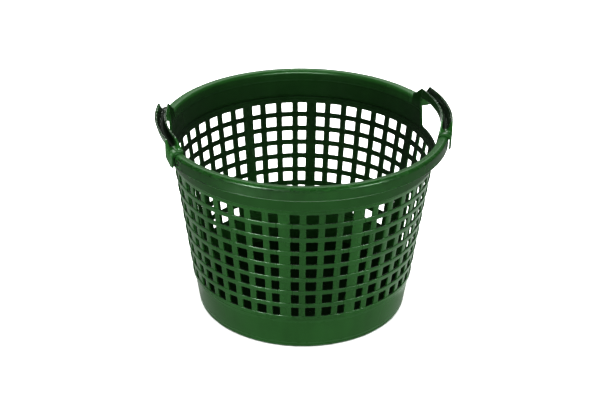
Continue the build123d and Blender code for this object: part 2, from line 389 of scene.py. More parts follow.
def laid_out(name: str, places: Sequence[Vector]) -> Object:
    """Name the primitive that was just added and lay its vertices out.

    Args:
        name: The name of the piece.
        places: The places of its vertices in order.

    Returns:
        The piece.
    """
    piece = bpy.context.object
    piece.name = piece.data.name = name
    for vertex, place in zip(piece.data.vertices, places):
        vertex.co = place
    return piece


def outline(name: str, places: Sequence[Vector]) -> Object:
    """Lay a closed wire through some places, from a circle with as many vertices.

    Args:
        name: The name of the wire.
        places: The places in order.

    Returns:
        The wire.
    """
    bpy.ops.object.select_all(action="DESELECT")
    bpy.ops.mesh.primitive_circle_add(vertices=len(places), fill_type="NOTHING")
    return laid_out(name, places)


def grid(name: str, columns: int, rows: int, places: Sequence[Vector]) -> Object:
    """Lay an open sheet of rows and columns of vertices.

    Args:
        name: The name of the sheet.
        columns: The number of vertices in a row.
        rows: The number of rows.
        places: The places of the vertices, row by row.

    Returns:
        The sheet.
    """
    bpy.ops.object.select_all(action="DESELECT")
    bpy.ops.mesh.primitive_grid_add(x_subdivisions=columns - 1, y_subdivisions=rows - 1, size=2)
    return laid_out(name, places)


def round_outline(piece: Object, place: Vector, width: float, segments: int) -> None:
    """Round the corner of a wire at a place.

    Args:
        piece: The wire.
        place: The place of the corner.
        width: How far the rounding reaches from the corner.
        segments: The number of edges along the rounding.
    """
    clear_selection(piece)
    for vertex in piece.data.vertices:
        vertex.select = (vertex.co - place).length < TOUCHING
    with editing(piece, Pick.VERTICES):
        bpy.ops.mesh.bevel(offset=width, segments=segments, affect="VERTICES")


def split_long_edges(piece: Object, longest: float = 4.0 * MM, parts: int = 12) -> None:
    """Split the long edges of a wire, so that wear at its corners stays near them.

    Args:
        piece: The wire.
        longest: The length that an edge may keep.
        parts: The number of edges that a longer one is split into.
    """
    clear_selection(piece)
    for edge in piece.data.edges:
        first, second = (piece.data.vertices[end].co for end in edge.vertices)
        edge.select = (first - second).length > longest
    with editing(piece, Pick.EDGES):
        bpy.ops.mesh.subdivide(number_cuts=parts - 1)


def spun(name: str, corners: Sequence[Corner], start: float, sweep: float, step: float) -> Object:
    """Turn a section about the basket's axis.

    Args:
        name: The name of the piece.
        corners: The section's corners in order.
        start: The angle where the turn starts.
        sweep: The angle that it runs, anticlockwise.
        step: The angle of one face.

    Returns:
        A closed piece with its faces outwards.
    """
    piece = outline(name, [corner.turned_to(start) for corner in corners])
    for corner in corners:
        if corner.rounding:
            round_outline(piece, corner.turned_to(start), corner.rounding, corner.segments)
    split_long_edges(piece)
    with editing(piece, Pick.VERTICES, whole=True):
        bpy.ops.mesh.spin(steps=round(sweep / step), angle=-sweep, center=(0, 0, 0), axis=(0, 0, 1))
    seal(piece, capped=sweep < FULL_TURN)
    return piece


# Shader node groups

class Maths(Enum):
    """How two values are put together."""

    PLUS = "ADD"
    TIMES = "MULTIPLY"
    POWER = "POWER"


class Socket(Enum):
    """What runs through a socket of a node group."""

    VALUE = "NodeSocketFloat"
    COLOUR = "NodeSocketColor"


@dataclass(frozen=True)
class Mottle:
    """The settings of a noise."""

    scale: float
    detail: float
    roughness: float


class Nodes:
    """Places and links the nodes of one tree."""

    # Places of the colour sockets on a Mix node
    first_colour = 6
    second_colour = 7
    mixed_colour = 2

    def __init__(self, tree: NodeTree) -> None:
        """Work on one tree."""
        self.tree = tree

    def add(self, kind: str, inputs: Inputs | None = None, **settings: object) -> Node:
        """Add a node.

        Args:
            kind: Blender's word for the node.
            inputs: What its sockets get, as for feed.
            **settings: The node's own settings by name.

        Returns:
            The node.
        """
        node = self.tree.nodes.new(kind)
        for key, value in settings.items():
            setattr(node, key, value)
        self.feed(node, inputs or {})
        return node

    def feed(self, node: Node, inputs: Inputs) -> None:
        """Link or set some sockets of a node.

        Args:
            node: The node.
            inputs: A value, or a socket of another node, by the name or place of the socket that gets it.
        """
        for key, source in inputs.items():
            if isinstance(source, NodeSocket):
                self.tree.links.new(source, node.inputs[key])
            else:
                node.inputs[key].default_value = source

    def place(self) -> NodeSocket:
        """The place of a point in the basket's own frame."""
        return self.add("ShaderNodeTexCoord").outputs["Object"]

    def noise(self, place: NodeSocket, mottle: Mottle) -> NodeSocket:
        """Noise over a place, as one value about a half."""
        inputs = {"Scale": mottle.scale, "Detail": mottle.detail, "Roughness": mottle.roughness}
        return self.add("ShaderNodeTexNoise", {"Vector": place, **inputs}).outputs["Fac"]

    def maths(self, how: Maths, first: object, second: object) -> NodeSocket:
        """Two values or sockets put together."""
        return self.add("ShaderNodeMath", {0: first, 1: second}, operation=how.value).outputs[0]

    def spread(
        self, value: NodeSocket, given: Range, wanted: tuple[object, object] = (0.0, 1.0)
    ) -> NodeSocket:
        """Stretch a value from one range to another and hold it at the ends.

        Args:
            value: The socket with the value.
            given: The range that is stretched.
            wanted: The range that it becomes, as values or sockets.

        Returns:
            The socket with the stretched value.
        """
        (low, high), (to_low, to_high) = given, wanted
        inputs = {"Value": value, "From Min": low, "From Max": high, "To Min": to_low, "To Max": to_high}
        return self.add("ShaderNodeMapRange", inputs, clamp=True).outputs["Result"]

    def mixed(self, share: NodeSocket, first: object, second: object) -> NodeSocket:
        """Two colours mixed by a share."""
        inputs = {"Factor": share, self.first_colour: first, self.second_colour: second}
        return self.add("ShaderNodeMix", inputs, data_type="RGBA").outputs[self.mixed_colour]


def new_group(name: str, inputs: dict[str, Socket], outputs: dict[str, Socket]) -> tuple[Nodes, Node, Node]:
    """Start a shader node group.

    Args:
        name: The group's name.
        inputs: What each input carries, by name.
        outputs: What each output carries, by name.

    Returns:
        The group's nodes, and its input and output node.
    """
    tree = bpy.data.node_groups.new(name, "ShaderNodeTree")
    for direction, sockets in (("INPUT", inputs), ("OUTPUT", outputs)):
        for socket, kind in sockets.items():
            tree.interface.new_socket(socket, in_out=direction, socket_type=kind.value)
    nodes = Nodes(tree)
    return nodes, nodes.add("NodeGroupInput"), nodes.add("NodeGroupOutput")


@dataclass(frozen=True)
class PigmentDrift:
    """Colour of the plastic: cloudy pigment with faint flow lines that rise from the floor."""

    cloud: Mottle = Mottle(11.0, 3.0, 0.55)
    cloud_share: float = 0.65
    flow: Mottle = Mottle(1.0, 2.0, 0.5)
    flow_scale: Place = (70.0, 70.0, 7.0)
    contrast: Range = (0.36, 0.64)

    def group(self) -> ShaderNodeTree:
        """Build the group.

        Returns:
            The group, with two colours and an amount as inputs.
        """
        sockets = {"Deep": Socket.COLOUR, "Light": Socket.COLOUR, "Amount": Socket.VALUE}
        nodes, start, end = new_group("pigment_drift", sockets, {"Color": Socket.COLOUR})
        place = nodes.place()
        drawn_out = nodes.add("ShaderNodeMapping", {"Vector": place, "Scale": self.flow_scale})
        cloud = nodes.maths(Maths.TIMES, nodes.noise(place, self.cloud), self.cloud_share)
        streaks = nodes.noise(drawn_out.outputs["Vector"], self.flow)
        flow = nodes.maths(Maths.TIMES, streaks, 1 - self.cloud_share)
        drift = nodes.spread(nodes.maths(Maths.PLUS, cloud, flow), self.contrast)
        share = nodes.maths(Maths.TIMES, drift, start.outputs["Amount"])
        nodes.feed(end, {"Color": nodes.mixed(share, start.outputs["Deep"], start.outputs["Light"])})
        return nodes.tree


@dataclass(frozen=True)
class MouldedSkin:
    """Height of the moulded skin: fine spark grain on a slightly wavy surface."""

    grain: Mottle = Mottle(1500.0, 2.0, 0.6)
    wave: Mottle = Mottle(55.0, 1.0, 0.4)

    def group(self) -> ShaderNodeTree:
        """Build the group.

        Returns:
            The group, with the amount of grain as its input.
        """
        nodes, start, end = new_group("moulded_skin", {"Grain": Socket.VALUE}, {"Height": Socket.VALUE})
        place = nodes.place()
        grain = nodes.maths(Maths.TIMES, nodes.noise(place, self.grain), start.outputs["Grain"])
        nodes.feed(end, {"Height": nodes.maths(Maths.PLUS, grain, nodes.noise(place, self.wave))})
        return nodes.tree


@dataclass(frozen=True)
class HandlingWear:
    """Mask of handling marks: rubbed edges, not the sharp seams of pieces, and scattered dull patches.

    Edges and seams are told apart by their pointiness, which is a half on flat faces.
    """

    rounded_edge: Range = (0.505, 0.53)
    sharp_seam: Range = (0.545, 0.565)
    rubbing: Mottle = Mottle(90.0, 2.0, 0.5)
    rubbing_contrast: Range = (0.35, 0.65)
    least_rubbing: float = 0.4
    patches: Mottle = Mottle(30.0, 2.0, 0.5)
    patch_contrast: Range = (0.5, 0.72)

    def group(self) -> ShaderNodeTree:
        """Build the group.

        Returns:
            The group, with the amounts of worn edges and of patches as inputs.
        """
        sockets = {"Edges": Socket.VALUE, "Patches": Socket.VALUE}
        nodes, start, end = new_group("handling_wear", sockets, {"Mask": Socket.VALUE})
        place = nodes.place()
        pointed = nodes.add("ShaderNodeNewGeometry").outputs["Pointiness"]
        rounded = nodes.spread(pointed, self.rounded_edge, (0.0, start.outputs["Edges"]))
        edge = nodes.maths(Maths.TIMES, rounded, nodes.spread(pointed, self.sharp_seam, (1.0, 0.0)))
        rubbing = nodes.noise(place, self.rubbing)
        broken = nodes.spread(rubbing, self.rubbing_contrast, (self.least_rubbing, 1.0))
        cloud = nodes.noise(place, self.patches)
        patch = nodes.spread(cloud, self.patch_contrast, (0.0, start.outputs["Patches"]))
        nodes.feed(end, {"Mask": nodes.maths(Maths.PLUS, nodes.maths(Maths.TIMES, edge, broken), patch)})
        return nodes.tree


class Effects:
    """The node groups that the finishes share, each built once."""

    def __init__(self) -> None:
        """Build the groups."""
        self.pigment = PigmentDrift().group()
        self.skin = MouldedSkin().group()
        self.wear = HandlingWear().group()


@dataclass(frozen=True)
class PlasticFinish:
    """Satin polyethylene, coloured through, with the wear of one part of the basket."""

    name: str
    shine: float = 0.5
    refraction: float = 1.5
    gloss_tint: Colour = (0.8, 1.0, 0.84, 1.0)
    deep: Colour = (0.0135, 0.068, 0.0115, 1.0)
    light: Colour = (0.0185, 0.090, 0.0160, 1.0)
    drift: float = 0.8
    scuffed: Colour = (0.045, 0.125, 0.05, 1.0)
    edge_wear: float = 0.15
    patch_wear: float = 0.05
    polished: float = 0.25
    dull: float = 0.42
    dull_wear: float = 0.4
    grain: float = 0.25
    bump: float = 0.08
    bump_depth: float = 0.3 * MM

    def material(self, effects: Effects) -> Material:
        """Make the finish.

        Args:
            effects: The node groups to place in it.

        Returns:
            The material.
        """
        material = bpy.data.materials.new(self.name)
        material.use_nodes = True
        nodes = Nodes(material.node_tree)
        colours = {"Deep": self.deep, "Light": self.light, "Amount": self.drift}
        pigment = nodes.add("ShaderNodeGroup", colours, node_tree=effects.pigment)
        amounts = {"Edges": self.edge_wear, "Patches": self.patch_wear}
        mask = nodes.add("ShaderNodeGroup", amounts, node_tree=effects.wear).outputs["Mask"]
        skin = nodes.add("ShaderNodeGroup", {"Grain": self.grain}, node_tree=effects.skin)
        relief = {"Height": skin.outputs["Height"], "Strength": self.bump, "Distance": self.bump_depth}
        nodes.feed(material.node_tree.nodes["Principled BSDF"], {
            "Base Color": nodes.mixed(mask, pigment.outputs["Color"], self.scuffed),
            "Roughness": nodes.spread(mask, (0.0, self.dull_wear), (self.polished, self.dull)),
            "Normal": nodes.add("ShaderNodeBump", relief).outputs["Normal"],
            "IOR": self.refraction,
            "Specular IOR Level": self.shine,
            "Specular Tint": self.gloss_tint,
        })
        return material


# Sub-assemblies

def fit(piece: Object, node: str, material: Material, smooth_angle: float = math.radians(38)) -> Object:
    """Dress a finished piece and let it stand for its node.

    Args:
        piece: The modelled mesh, in place.
        node: The CAD node that it replaces.
        material: Its finish.
        smooth_angle: The least angle of an edge that stays crisp.

    Returns:
        The same piece.
    """
    piece.data.materials.clear()
    piece.data.materials.append(material)
    make_only(piece)
    bpy.ops.object.shade_smooth_by_angle(angle=smooth_angle)
    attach(piece, BODY)
    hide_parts(node)
    LOG.info("%s stands for %s with %d faces", piece.name, node, len(piece.data.polygons))
    return piece


@dataclass
class FootAndFloor:
    """The ring that the basket stands on, the floor with its drain holes, and the band around them."""

    form: BasketForm
    finish: Material
    floor_finish: Material
    foot_finish: Material
    foot_rounding: float = 3.4 * MM
    edge_rounding: float = 0.7 * MM
    floor_seam: float = 0.05 * MM
    drain_diameter: float = 6.0 * MM
    drain_pitch: float = 34.0 * MM
    drain_sides: int = 16
    gate_radius: float = 7.0 * MM
    gate_height: float = 0.8 * MM
    gate_rounding: float = 0.4 * MM
    nub_radius: float = 2.2 * MM
    nub_height: float = 1.8 * MM
    nub_rounding: float = 0.6 * MM
    sharp_angle: float = math.radians(60)
    step: float = math.radians(2.0)

    def build(self) -> list[Object]:
        """Model and dress the three pieces.

        Returns:
            The foot ring, the floor and the lower band.
        """
        return [
            fit(self.foot_ring(), "foot_ring", self.foot_finish),
            fit(self.floor_plate(), "floor_plate", self.floor_finish),
            fit(self.lower_band(), "lower_band", self.finish),
        ]

    def foot_ring(self) -> Object:
        """Model the ring under the wall, rounded where it meets the ground.

        Returns:
            The ring.
        """
        form = self.form
        corners = [
            Corner(form.foot_inner, 0.0, self.edge_rounding),
            Corner(form.lower_band_outer(0.0), 0.0, self.foot_rounding),
            Corner(form.lower_band_outer(form.floor_bottom), form.floor_bottom),
            Corner(form.foot_inner, form.floor_bottom),
        ]
        return spun("moulded_foot_ring", corners, 0.0, FULL_TURN, self.step)

    def lower_band(self) -> Object:
        """Model the plain wall from the foot ring to the lattice.

        Returns:
            The band.
        """
        form = self.form
        low, high = form.floor_bottom, form.lattice_bottom
        corners = [
            Corner(form.lower_band_inner(low), low),
            Corner(form.lower_band_outer(low), low),
            Corner(form.lower_band_outer(high), high),
            Corner(form.lower_band_inner(high), high, self.edge_rounding),
        ]
        return spun("moulded_lower_band", corners, 0.0, FULL_TURN, self.step)

    def floor_plate(self) -> Object:
        """Model the floor with rings of drain holes, and the mark of the mould's gate under its middle.

        Returns:
            The floor.
        """
        form = self.form
        low, high = form.floor_bottom, form.floor_top
        gate = low - self.gate_height
        nub = gate - self.nub_height
        corners = [
            Corner(0.0, high),
            Corner(0.0, nub),
            Corner(self.nub_radius, nub, self.nub_rounding),
            Corner(self.nub_radius, gate),
            Corner(self.gate_radius, gate, self.gate_rounding),
            Corner(self.gate_radius, low),
            Corner(form.lower_band_inner(low) - self.floor_seam, low),
            Corner(form.lower_band_inner(high) - self.floor_seam, high),
        ]
        plate = spun("moulded_floor_plate", corners, 0.0, FULL_TURN, self.step)
        cut_away(plate, self.drain_cutter())
        round_sharp_edges(plate, self.sharp_angle, self.edge_rounding, segments=2, keep=self.at_drain)
        return plate

    def at_drain(self, first: Vector, second: Vector) -> bool:
        """Tell whether an edge is level and lies among the drain holes.

        Args:
            first: The place of one end.
            second: The place of the other.

        Returns:
            True for the edge of a hole.
        """
        margin = self.drain_pitch / 4
        nearest = self.gate_radius + margin
        farthest = self.form.lower_band_inner(self.form.floor_bottom) - margin
        return abs(first.z - second.z) < TOUCHING and nearest < radius_of(first) < farthest

    def drain_cutter(self) -> Object:
        """Model all the drain holes as one mesh of short posts.

        Returns:
            The posts.
        """
        form = self.form
        middle = (form.floor_bottom + form.floor_top) / 2
        size = {"radius": self.drain_diameter / 2, "depth": 4 * (form.floor_top - middle)}
        bpy.ops.object.select_all(action="DESELECT")
        posts = []
        for ring in range(1, int(form.foot_inner / self.drain_pitch)):
            count = int(FULL_TURN * ring)
            for index in range(count):
                place = at(ring * self.drain_pitch, FULL_TURN * index / count, middle)
                bpy.ops.mesh.primitive_cylinder_add(vertices=self.drain_sides, location=place, **size)
                posts.append(bpy.context.object)
        for post in posts:
            post.select_set(True)
        bpy.context.view_layer.objects.active = posts[0]
        bpy.ops.object.join()
        bpy.ops.object.transform_apply(location=True, rotation=True, scale=True)
        return bpy.context.object


@dataclass
class LatticeWall:
    """The wall of hoops and ribs, in eight panels with a wider upright after each."""

    form: BasketForm
    finish: Material
    hole_height: float = 14.8 * MM
    hoop_height: float = 7.0 * MM
    rib_width: float = 8.7 * MM
    upright_width: float = 15.2 * MM
    hole_rounding: float = 1.0 * MM
    hoop_rounding: float = 0.85 * MM
    edge_rounding: float = 0.3 * MM
    hole_draft: float = 1.3 * MM
    draft_reach: float = 0.9 * MM
    cut_margin: float = 2.0 * MM
    sharp_angle: float = math.radians(55)
    facing_out: float = 0.8
    lines_per_column: int = 6
    lines_per_row: int = 4

    # Each panel with its columns of holes and the upright after it, from the right-hand side on
    panels: tuple[tuple[str, int, str], ...] = (
        ("panel_right", 5, "upright_right_back"),
        ("panel_back_right", 7, "upright_back_right"),
        ("panel_back", 4, "upright_back_left"),
        ("panel_back_left", 7, "upright_left_back"),
        ("panel_left", 4, "upright_left_front"),
        ("panel_front_left", 7, "upright_front_left"),
        ("panel_front", 4, "upright_front_right"),
        ("panel_front_right", 7, "upright_right_front"),
    )

    @property
    def column_angle(self) -> float:
        """Angle from one rib to the next."""
        return FULL_TURN / sum(columns for _, columns, _ in self.panels)

    @property
    def row_pitch(self) -> float:
        """Height from one hoop to the next."""
        return self.hole_height + self.hoop_height

    @property
    def row_count(self) -> int:
        """Rows of holes between the lowest and the highest hoop."""
        return round((self.form.lattice_top - self.form.lattice_bottom - self.hoop_height) / self.row_pitch)

    def build(self) -> list[Object]:
        """Model one panel of each width and one upright, and set copies of them round the basket.

        Returns:
            The dressed panels and uprights, from the right-hand side on.
        """
        widths = sorted({columns for _, columns, _ in self.panels})
        models = {columns: self.panel(columns) for columns in widths}
        post = self.upright()
        pieces = []
        angle = -self.column_angle * self.panels[0][1] / 2
        for panel_node, columns, upright_node in self.panels:
            panel = turned_copy(models[columns], "moulded_" + panel_node, Matrix.Rotation(angle, 4, "Z"))
            pieces.append(fit(panel, panel_node, self.finish))
            angle += columns * self.column_angle
            upright = turned_copy(post, "moulded_" + upright_node, Matrix.Rotation(angle, 4, "Z"))
            pieces.append(fit(upright, upright_node, self.finish))
        for model in (*models.values(), post):
            bpy.data.objects.remove(model)
        return pieces

    def panel(self, columns: int) -> Object:
        """Model a panel from the middle of one upright to the middle of the next, cut clear of both.

        Args:
            columns: Its columns of holes.

        Returns:
            The panel, with its first upright at +X.
        """
        ribs = [self.upright_width] + [self.rib_width] * (columns - 1) + [self.upright_width]
        piece = self.sheet(f"panel_of_{columns}", 0.0, ribs)
        cut = self.upright_width / 2 + self.cut_margin
        last = columns * self.column_angle
        for side in (Vector((0.0, 1.0, 0.0)), Vector((math.sin(last), -math.cos(last), 0.0))):
            slice_off(piece, side * cut, side)
        return piece

    def upright(self) -> Object:
        """Model a wide post with the hoops running across it, and a stub of each hoop beside it.

        Returns:
            The post, at +X.
        """
        ribs = [self.rib_width, self.upright_width, self.rib_width]
        piece = self.sheet("upright_post", -self.column_angle, ribs)
        cut = self.upright_width / 2 + self.cut_margin
        for side in (Vector((0.0, 1.0, 0.0)), Vector((0.0, -1.0, 0.0))):
            slice_off(piece, side * -cut, side)
        return piece

    def column_lines(self, ribs: Sequence[float]) -> list[Point]:
        """Lay out the upright lines of the flat pattern.

        Args:
            ribs: Width of each rib in order.

        Returns:
            For each line, the angle of a rib or of a hole's middle, and the distance sideways from it.
        """
        lines = []
        for index in range(len(ribs) - 1):
            near, far = index * self.column_angle, (index + 1) * self.column_angle
            left, right = ribs[index] / 2, ribs[index + 1] / 2
            lines += [(near, 0.0), (near, left), (near, left + self.hole_rounding)]
            lines += [((near + far) / 2, 0.0), (far, -right - self.hole_rounding), (far, -right)]
        return lines + [((len(ribs) - 1) * self.column_angle, 0.0)]

    def row_lines(self) -> list[float]:
        """Lay out the level lines of the flat pattern.

        Returns:
            Their heights, from the lowest up.
        """
        lines = [self.form.lattice_bottom]
        for row in range(self.row_count):
            low = self.form.lattice_bottom + self.hoop_height + row * self.row_pitch
            high = low + self.hole_height
            lines += [low, low + self.hole_rounding, high - self.hole_rounding, high]
        return lines + [self.form.lattice_top]

    def sheet(self, name: str, start: float, ribs: Sequence[float]) -> Object:
        """Model some columns of lattice: a wrapped grid with its holes cut, thickened, its hoops raised.

        Args:
            name: The name of the piece.
            start: The angle of the first rib.
            ribs: Width of each rib in order.

        Returns:
            The closed piece, with its moulded edges rounded.
        """
        columns, rows = self.column_lines(ribs), self.row_lines()
        piece = grid(name, len(columns), len(rows), self.wrapped(start, columns, rows))
        self.cut_holes(piece, len(columns))
        thickness = self.form.rib_thickness
        apply_modifier(piece, "SOLIDIFY", thickness=thickness, offset=-1.0, use_even_offset=True)
        self.level_ends(piece)
        self.draft_holes(piece)
        self.raise_hoops(piece)
        round_sharp_edges(piece, self.sharp_angle, self.hoop_rounding, segments=3, keep=self.on_hoop_edge)
        round_sharp_edges(piece, self.sharp_angle, self.edge_rounding, segments=2, keep=self.free_edge)
        return piece

    def wrapped(self, start: float, columns: Sequence[Point], rows: Sequence[float]) -> list[Vector]:
        """Lay the flat pattern on the ribs' outer face, with the corners of the holes drawn in.

        Args:
            start: The angle of the first rib.
            columns: The pattern's upright lines.
            rows: The heights of its level lines.

        Returns:
            The places where the lines cross, row by row.
        """
        inset = CORNER_INSET * self.hole_rounding
        side_insets = {1: inset, self.lines_per_column - 1: -inset}
        level_insets = {1: inset, 0: -inset}
        places = []
        for row, height in enumerate(rows):
            inner_row = 0 < row < len(rows) - 1
            rise = level_insets.get(row % self.lines_per_row, 0.0) if inner_row else 0.0
            for column, (angle, aside) in enumerate(columns):
                shift = side_insets.get(column % self.lines_per_column, 0.0)
                at_corner = rise != 0.0 and shift != 0.0
                level = height + rise if at_corner else height
                sideways = aside + shift if at_corner else aside
                radius = self.form.rib_outer(level)
                places.append(at(radius, start + angle + sideways / radius, level))
        return places

    def cut_holes(self, piece: Object, line_count: int) -> None:
        """Delete the faces of the holes.

        Args:
            piece: The wrapped sheet.
            line_count: The number of its upright lines.
        """
        clear_selection(piece)
        for face in piece.data.polygons:
            row, column = divmod(min(face.vertices), line_count)
            between_ribs = 0 < column % self.lines_per_column < self.lines_per_column - 1
            face.select = row % self.lines_per_row != 0 and between_ribs
        with editing(piece, Pick.FACES):
            bpy.ops.mesh.delete(type="FACE")

    def level_ends(self, piece: Object) -> None:
        """Make the upper and the lower edge of the wall flat.

        Args:
            piece: The thickened sheet.
        """
        for vertex in piece.data.vertices:
            for level in (self.form.lattice_bottom, self.form.lattice_top):
                if abs(vertex.co.z - level) < self.hoop_height / 4:
                    vertex.co.z = level

    def draft_holes(self, piece: Object) -> None:
        """Let the lower faces of the holes fall towards the inside, as the mould's cores need.

        Args:
            piece: The thickened sheet.
        """
        form = self.form
        highest = form.lattice_top - self.hoop_height / 2
        for vertex in piece.data.vertices:
            inside = radius_of(vertex.co) < form.lattice_inner(vertex.co.z) + form.rib_thickness / 2
            level = (vertex.co.z - form.lattice_bottom) % self.row_pitch - self.hoop_height
            if inside and abs(level) < self.draft_reach and vertex.co.z < highest:
                vertex.co.z -= self.hole_draft

    def raise_hoops(self, piece: Object) -> None:
        """Extrude the hoops' outer faces until they stand proud of the ribs.

        Args:
            piece: The thickened sheet.
        """
        clear_selection(piece)
        for face in piece.data.polygons:
            outwards = Vector((face.center.x, face.center.y, 0.0)).normalized()
            level = (face.center.z - self.form.lattice_bottom) % self.row_pitch
            face.select = face.normal.dot(outwards) > self.facing_out and level < self.hoop_height
        with editing(piece, Pick.FACES):
            bpy.ops.mesh.extrude_region_move(TRANSFORM_OT_translate={"value": (0.0, 0.0, 0.0)})
        for vertex in piece.data.vertices:
            if vertex.select:
                factor = 1 + self.form.hoop_stand / radius_of(vertex.co)
                vertex.co.x *= factor
                vertex.co.y *= factor
        seal(piece)

    def free_edge(self, first: Vector, second: Vector) -> bool:
        """Whether an edge is clear of the bands below and above, from the places of its ends."""
        levels = (self.form.lattice_bottom, self.form.lattice_top)
        return not any(abs(end.z - level) < TOUCHING for end in (first, second) for level in levels)

    def on_hoop_edge(self, first: Vector, second: Vector) -> bool:
        """Tell whether an edge is a free one on a hoop's outer face.

        Args:
            first: The place of one end.
            second: The place of the other.

        Returns:
            True for the edge of a hoop.
        """
        reach = self.form.hoop_stand / 2
        outside = all(radius_of(end) > self.form.rib_outer(end.z) + reach for end in (first, second))
        return outside and self.free_edge(first, second)


@dataclass
class UpperBand:
    """The plain band above the lattice, with two hand holes and the walls beside them under the grips."""

    form: BasketForm
    finish: Material
    shoulder_thickness: float = 3.0 * MM
    hand_hole_half: float = 39.4 * MM
    hand_hole_flare: float = math.radians(21.8)
    hole_corner: float = 3.6 * MM
    hole_margin: float = 0.5 * MM
    edge_rounding: float = 0.9 * MM
    ledge_rounding: float = 0.8 * MM
    shoulder_rounding: float = 1.3 * MM
    sharp_angle: float = math.radians(50)
    step: float = math.radians(2.0)

    def build(self) -> tuple[list[Object], Object]:
        """Model the pierced ring and part it into bands, sills and the walls under the grips.

        Returns:
            The dressed bands and sills, and the walls that the grip ends take over.
        """
        ring = self.pierced_ring()
        up, back, right = Vector((0, 0, 1)), Vector((0, 1, 0)), Vector((1, 0, 0))
        seat = up * self.form.rim_seat
        side = back * self.hand_hole_half
        cuts = {
            "upper_band_back": [(seat, -up), (side, back)],
            "upper_band_front": [(seat, -up), (-side, -back)],
            "sill_right": [(seat, -up), (side, -back), (-side, back), (Vector(), right)],
            "sill_left": [(seat, -up), (side, -back), (-side, back), (Vector(), -right)],
        }
        pieces = []
        for node, planes in cuts.items():
            piece = turned_copy(ring, "moulded_" + node, Matrix.Identity(4))
            for place, normal in planes:
                slice_off(piece, place, normal)
            pieces.append(fit(piece, node, self.finish))
        slice_off(ring, seat, up)
        return pieces, ring

    def section(self, top: float) -> list[Corner]:
        """Draw the band's section: an inward shoulder on the lattice and the wall above it.

        Args:
            top: The height of the wall's upper edge.

        Returns:
            The corners in order.
        """
        form = self.form
        low, ledge = form.lattice_top, form.lattice_top + self.shoulder_thickness
        return [
            Corner(form.lattice_inner(low), low),
            Corner(form.upper_band_outer(low), low, self.ledge_rounding),
            Corner(form.upper_band_outer(top), top),
            Corner(form.upper_band_inner(top), top),
            Corner(form.upper_band_inner(ledge), ledge, self.shoulder_rounding),
            Corner(form.lattice_inner(ledge), ledge, self.shoulder_rounding),
        ]

    def pierced_ring(self) -> Object:
        """Model the whole ring up to the rim's crest, with both hand holes cut through it.

        Returns:
            The ring.
        """
        ring = spun("band_ring", self.section(self.form.rim_crest), 0.0, FULL_TURN, self.step)
        cut_away(ring, self.hand_hole_cutter())
        round_sharp_edges(ring, self.sharp_angle, self.edge_rounding, segments=3, keep=self.on_hand_hole)
        return ring

    def on_hand_hole(self, first: Vector, second: Vector) -> bool:
        """Tell whether an edge belongs to a hand hole's sill or sides.

        Args:
            first: The place of one end.
            second: The place of the other.

        Returns:
            True for an edge of a hole, apart from its open top.
        """
        form = self.form
        low, high = sorted((first.z, second.z))
        wide = max(abs(first.y), abs(second.y))
        within = wide < self.half_width(form.rim_crest) + self.hole_margin
        between = form.sill_top - TOUCHING < low < form.rim_crest - TOUCHING
        at_side = wide > self.half_width(low) - self.hole_corner
        return within and between and (at_side or high < form.sill_top + TOUCHING)

    def half_width(self, height: float) -> float:
        """Half the width of a hand hole at a height."""
        return self.hand_hole_half + (height - self.form.sill_top) * math.tan(self.hand_hole_flare)

    def hand_hole_cutter(self) -> Object:
        """Model a bar of the hand holes' outline, right across the basket.

        Returns:
            The bar.
        """
        form = self.form
        top = form.rim_crest + form.grip_wall_height
        reach = 2 * form.plate_outer
        half_low, half_high = self.half_width(form.sill_top), self.half_width(top)
        corners = [
            Vector((-reach, half_low, form.sill_top)),
            Vector((-reach, half_high, top)),
            Vector((-reach, -half_high, top)),
            Vector((-reach, -half_low, form.sill_top)),
        ]
        bar = outline("hand_hole_bar", corners)
        for corner in (corners[0], corners[-1]):
            round_outline(bar, corner, self.hole_corner, segments=5)
        with editing(bar, Pick.VERTICES, whole=True):
            bpy.ops.mesh.edge_face_add()
            bpy.ops.mesh.extrude_region_move(TRANSFORM_OT_translate={"value": (2 * reach, 0.0, 0.0)})
        seal(bar)
        return bar


@dataclass
class Rim:
    """The round-shouldered rim from grip to grip, with its leg on the band and its hanging skirt."""

    form: BasketForm
    finish: Material
    crown_thickness: float = 2.8 * MM
    inner_drop: float = 1.6 * MM
    inner_rounding: float = 4.5 * MM
    outer_rounding: float = 5.6 * MM
    arc_faces: int = 9
    skirt_rounding: float = 0.9 * MM
    step: float = math.radians(1.5)

    def build(self) -> list[Object]:
        """Model the back of the rim and turn a copy of it to the front.

        Returns:
            The dressed back and front.
        """
        start = self.form.grip_end_angle
        back = spun("moulded_rim_back", self.section(), start, math.pi - 2 * start, self.step)
        front = turned_copy(back, "moulded_rim_front", Matrix.Rotation(math.pi, 4, "Z"))
        return [fit(back, "rim_back", self.finish), fit(front, "rim_front", self.finish)]

    def section(self) -> list[Corner]:
        """Draw the rim's section, from the foot of its leg over the top to the skirt and back.

        Returns:
            The corners in order.
        """
        form = self.form
        seat, crest = form.rim_seat, form.rim_crest
        inner_crest = crest - self.inner_drop
        under, inner_under = crest - self.crown_thickness, inner_crest - self.crown_thickness
        inner_hollow = self.inner_rounding - self.crown_thickness
        outer_hollow = self.outer_rounding - self.crown_thickness
        return [
            Corner(form.upper_band_inner(seat), seat),
            Corner(form.upper_band_inner(inner_crest), inner_crest, self.inner_rounding, self.arc_faces),
            Corner(form.rim_outer, crest, self.outer_rounding, self.arc_faces),
            Corner(form.rim_outer, form.skirt_bottom, self.skirt_rounding),
            Corner(form.skirt_inner, form.skirt_bottom, self.skirt_rounding),
            Corner(form.skirt_inner, under, outer_hollow),
            Corner(form.upper_band_outer(inner_under), inner_under, inner_hollow),
            Corner(form.upper_band_outer(seat), seat),
        ]


